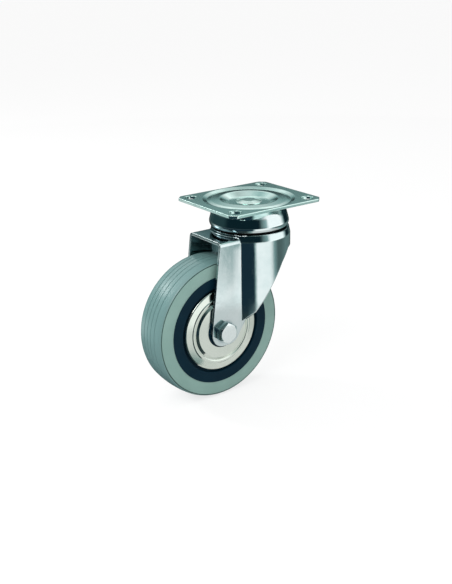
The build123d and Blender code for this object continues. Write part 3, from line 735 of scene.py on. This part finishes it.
def cylinder_on_axle(name, radius, near, far, steps, far_radius=None):
    """Closed cylinder or cone along the axle between two places across the castor."""
    bpy.ops.object.select_all(action="DESELECT")
    bpy.ops.mesh.primitive_cone_add(
        vertices=steps, radius1=far_radius or radius, radius2=radius, depth=far - near,
        location=(AXLE_X, (near + far) / 2, AXLE_Z), rotation=(math.radians(90), 0, 0),
    )
    piece = bpy.context.object
    piece.name = name
    bpy.ops.object.transform_apply(location=True, rotation=True, scale=True)
    return piece


head_face = BOLT_SEAT - BOLT_HEAD_HEIGHT
bolt = cylinder_on_axle("bolt", HEX_FLATS / math.sqrt(3), head_face, BOLT_SEAT, 6)
chamfer_cone = cylinder_on_axle(
    "chamfer_cone", HEX_FACE_RADIUS, head_face, BOLT_SEAT, HEX_CHAMFER_STEPS,
    HEX_FACE_RADIUS + BOLT_HEAD_HEIGHT * HEX_CHAMFER_SLOPE,
)
bpy.ops.object.select_all(action="DESELECT")
bolt.select_set(True)
bpy.context.view_layer.objects.active = bolt
turning = bolt.modifiers.new("turning", "BOOLEAN")
turning.operation = "INTERSECT"
turning.object = chamfer_cone
bpy.ops.object.modifier_apply(modifier=turning.name)
rounding = bolt.modifiers.new("rounding", "BEVEL")
rounding.width = HEX_EDGE_ROUND
rounding.segments = HEX_EDGE_STEPS
rounding.limit_method = "ANGLE"
rounding.angle_limit = HEX_EDGE_ANGLE
bpy.ops.object.modifier_apply(modifier=rounding.name)
bpy.data.objects.remove(chamfer_cone)

shank = cylinder_on_axle(
    "shank", THREAD_OUTER, BOLT_SEAT - JOINT_OVERLAP, THREAD_START, SHANK_STEPS
)
core = cylinder_on_axle("core", THREAD_CORE, THREAD_START - JOINT_OVERLAP, BOLT_END, SHANK_STEPS)
bpy.ops.object.select_all(action="DESELECT")
bpy.ops.mesh.primitive_plane_add(size=START_SIZE, location=(0, 0, 0))
thread = bpy.context.object
thread.name = "thread"
bpy.ops.object.mode_set(mode="EDIT")
ridge = bmesh.from_edit_mesh(thread.data)
for corner, (radius, along) in zip(
    list(ridge.faces)[0].verts,
    (
        (THREAD_CORE - THREAD_SINK, -THREAD_FOOT_HALF), (THREAD_OUTER, -THREAD_CREST_HALF),
        (THREAD_OUTER, THREAD_CREST_HALF), (THREAD_CORE - THREAD_SINK, THREAD_FOOT_HALF),
    ),
):
    corner.co = (radius, 0.0, along * THREAD_PITCH)
bmesh.update_edit_mesh(thread.data)
bpy.ops.mesh.select_all(action="SELECT")
bpy.ops.mesh.delete(type="ONLY_FACE")
bpy.ops.object.mode_set(mode="OBJECT")
winding = thread.modifiers.new("winding", "SCREW")
winding.axis = "Z"
winding.screw_offset = THREAD_PITCH
winding.iterations = int((BOLT_END - THREAD_START) / THREAD_PITCH) - 1
winding.steps = THREAD_STEPS
winding.render_steps = THREAD_STEPS
bpy.ops.object.modifier_apply(modifier=winding.name)
bpy.ops.object.mode_set(mode="EDIT")
bpy.ops.mesh.select_all(action="SELECT")
bpy.ops.mesh.fill_holes(sides=MOST_HOLE_SIDES)
bpy.ops.mesh.normals_make_consistent(inside=False)
bpy.ops.object.mode_set(mode="OBJECT")
thread.rotation_euler = (math.radians(-90), 0, 0)
thread.location = (AXLE_X, THREAD_START + THREAD_PITCH / 2, AXLE_Z)
bpy.ops.object.transform_apply(location=True, rotation=True, scale=True)
bpy.ops.object.select_all(action="DESELECT")
for part in (shank, core, thread, bolt):
    part.select_set(True)
bpy.context.view_layer.objects.active = bolt
bpy.ops.object.join()
bolt.name = "bolt_steel"
bpy.ops.object.shade_smooth_by_angle(angle=SMOOTH_ANGLE)

bolt_zinc = plated_metal(
    "bolt_zinc", tint=(0.94, 1.0, 0.99), cloud_tint=(0.88, 0.96, 0.95), roughness=(0.10, 0.18),
    grain_size=0.0006, grain_depth=0.000008, scratch_share=0.1,
)
bolt.data.materials.clear()
bolt.data.materials.append(bolt_zinc)
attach(bolt, "fork")
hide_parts("axle_bolt")
coat("axle_bolt", bolt_zinc)

# ---------------------------------------------------------------------------
# Lock nut. The same zinc as the bolt, with a thin turned collar over a nylon
# insert that grips the thread.
# ---------------------------------------------------------------------------
insert_nylon = dull_polymer(
    "insert_nylon", tint=(0.50, 0.55, 0.52), cloud_tint=(0.44, 0.49, 0.47), roughness=(0.4, 0.5),
    specular=0.45, grain_size=0.0005, grain_depth=0.00001,
)
coat("axle_nut", bolt_zinc)
coat("nut_insert", insert_nylon)
